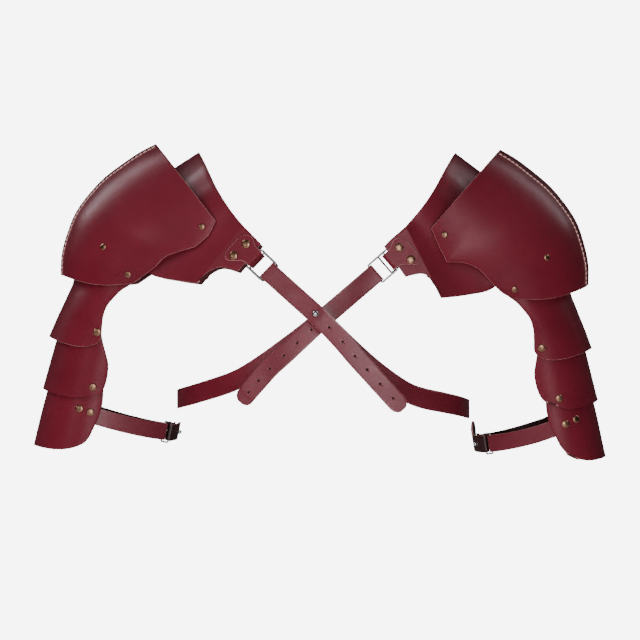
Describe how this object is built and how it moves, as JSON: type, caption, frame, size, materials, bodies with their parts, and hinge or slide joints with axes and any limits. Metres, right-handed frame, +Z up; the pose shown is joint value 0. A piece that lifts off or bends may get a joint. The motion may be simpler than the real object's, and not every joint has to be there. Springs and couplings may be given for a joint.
{
  "type": "shoulder harness",
  "caption": "Pair of leather shoulder guards with domed caps and overlapping arm plates, joined by crossed chest straps with punched tails, rings and studs.",
  "frame": {"origin": "midway between the wearer's two shoulders at the height where the yokes rest on them", "axes": "+X to the wearer's left, +Y to the wearer's back, +Z up"},
  "size_m": [0.601, 0.2577, 0.332],
  "materials": {
    "burgundy_leather": "smooth, semi-gloss finished cowhide with pale raw edges",
    "chrome": "polished",
    "antique_brass": "antiqued, worn bright on the rims"
  },
  "bodies": {
    "root": {"left_arm_ring": "chrome", "left_arm_strap_back": "burgundy_leather", "left_arm_strap_front": "burgundy_leather", "left_arm_strap_rivet_1": "antique_brass", "left_arm_strap_rivet_2": "antique_brass", "left_arm_stud": "chrome", "left_cap_back": "burgundy_leather", "left_cap_front": "burgundy_leather", "left_cap_rivet_1_back": "antique_brass", "left_cap_rivet_1_front": "antique_brass", "left_cap_rivet_2_back": "antique_brass", "left_cap_rivet_2_front": "antique_brass", "left_cap_rivet_3_back": "antique_brass", "left_cap_rivet_3_front": "antique_brass", "left_chest_strap": "burgundy_leather", "left_lame_lower": "burgundy_leather", "left_lame_middle": "burgundy_leather", "left_lame_rivet_1_back": "antique_brass", "left_lame_rivet_1_front": "antique_brass", "left_lame_rivet_2_back": "antique_brass", "left_lame_rivet_2_front": "antique_brass", "left_lame_upper": "burgundy_leather", "left_ring_back": "chrome", "left_ring_front": "chrome", "left_stud": "chrome", "left_tab_back": "burgundy_leather", "left_tab_front": "burgundy_leather", "left_tab_rivet_1": "antique_brass", "left_tab_rivet_2": "antique_brass", "left_yoke": "burgundy_leather", "right_arm_ring": "chrome", "right_arm_strap_back": "burgundy_leather", "right_arm_strap_front": "burgundy_leather", "right_arm_strap_rivet_1": "antique_brass", "right_arm_strap_rivet_2": "antique_brass", "right_arm_stud": "chrome", "right_cap_back": "burgundy_leather", "right_cap_front": "burgundy_leather", "right_cap_rivet_1_back": "antique_brass", "right_cap_rivet_1_front": "antique_brass", "right_cap_rivet_2_back": "antique_brass", "right_cap_rivet_2_front": "antique_brass", "right_cap_rivet_3_back": "antique_brass", "right_cap_rivet_3_front": "antique_brass", "right_chest_strap": "burgundy_leather", "right_lame_lower": "burgundy_leather", "right_lame_middle": "burgundy_leather", "right_lame_rivet_1_back": "antique_brass", "right_lame_rivet_1_front": "antique_brass", "right_lame_rivet_2_back": "antique_brass", "right_lame_rivet_2_front": "antique_brass", "right_lame_upper": "burgundy_leather", "right_ring_back": "chrome", "right_ring_front": "chrome", "right_stud": "chrome", "right_tab_back": "burgundy_leather", "right_tab_front": "burgundy_leather", "right_tab_rivet_1": "antique_brass", "right_tab_rivet_2": "antique_brass", "right_yoke": "burgundy_leather"}
  },
  "joints": []
}
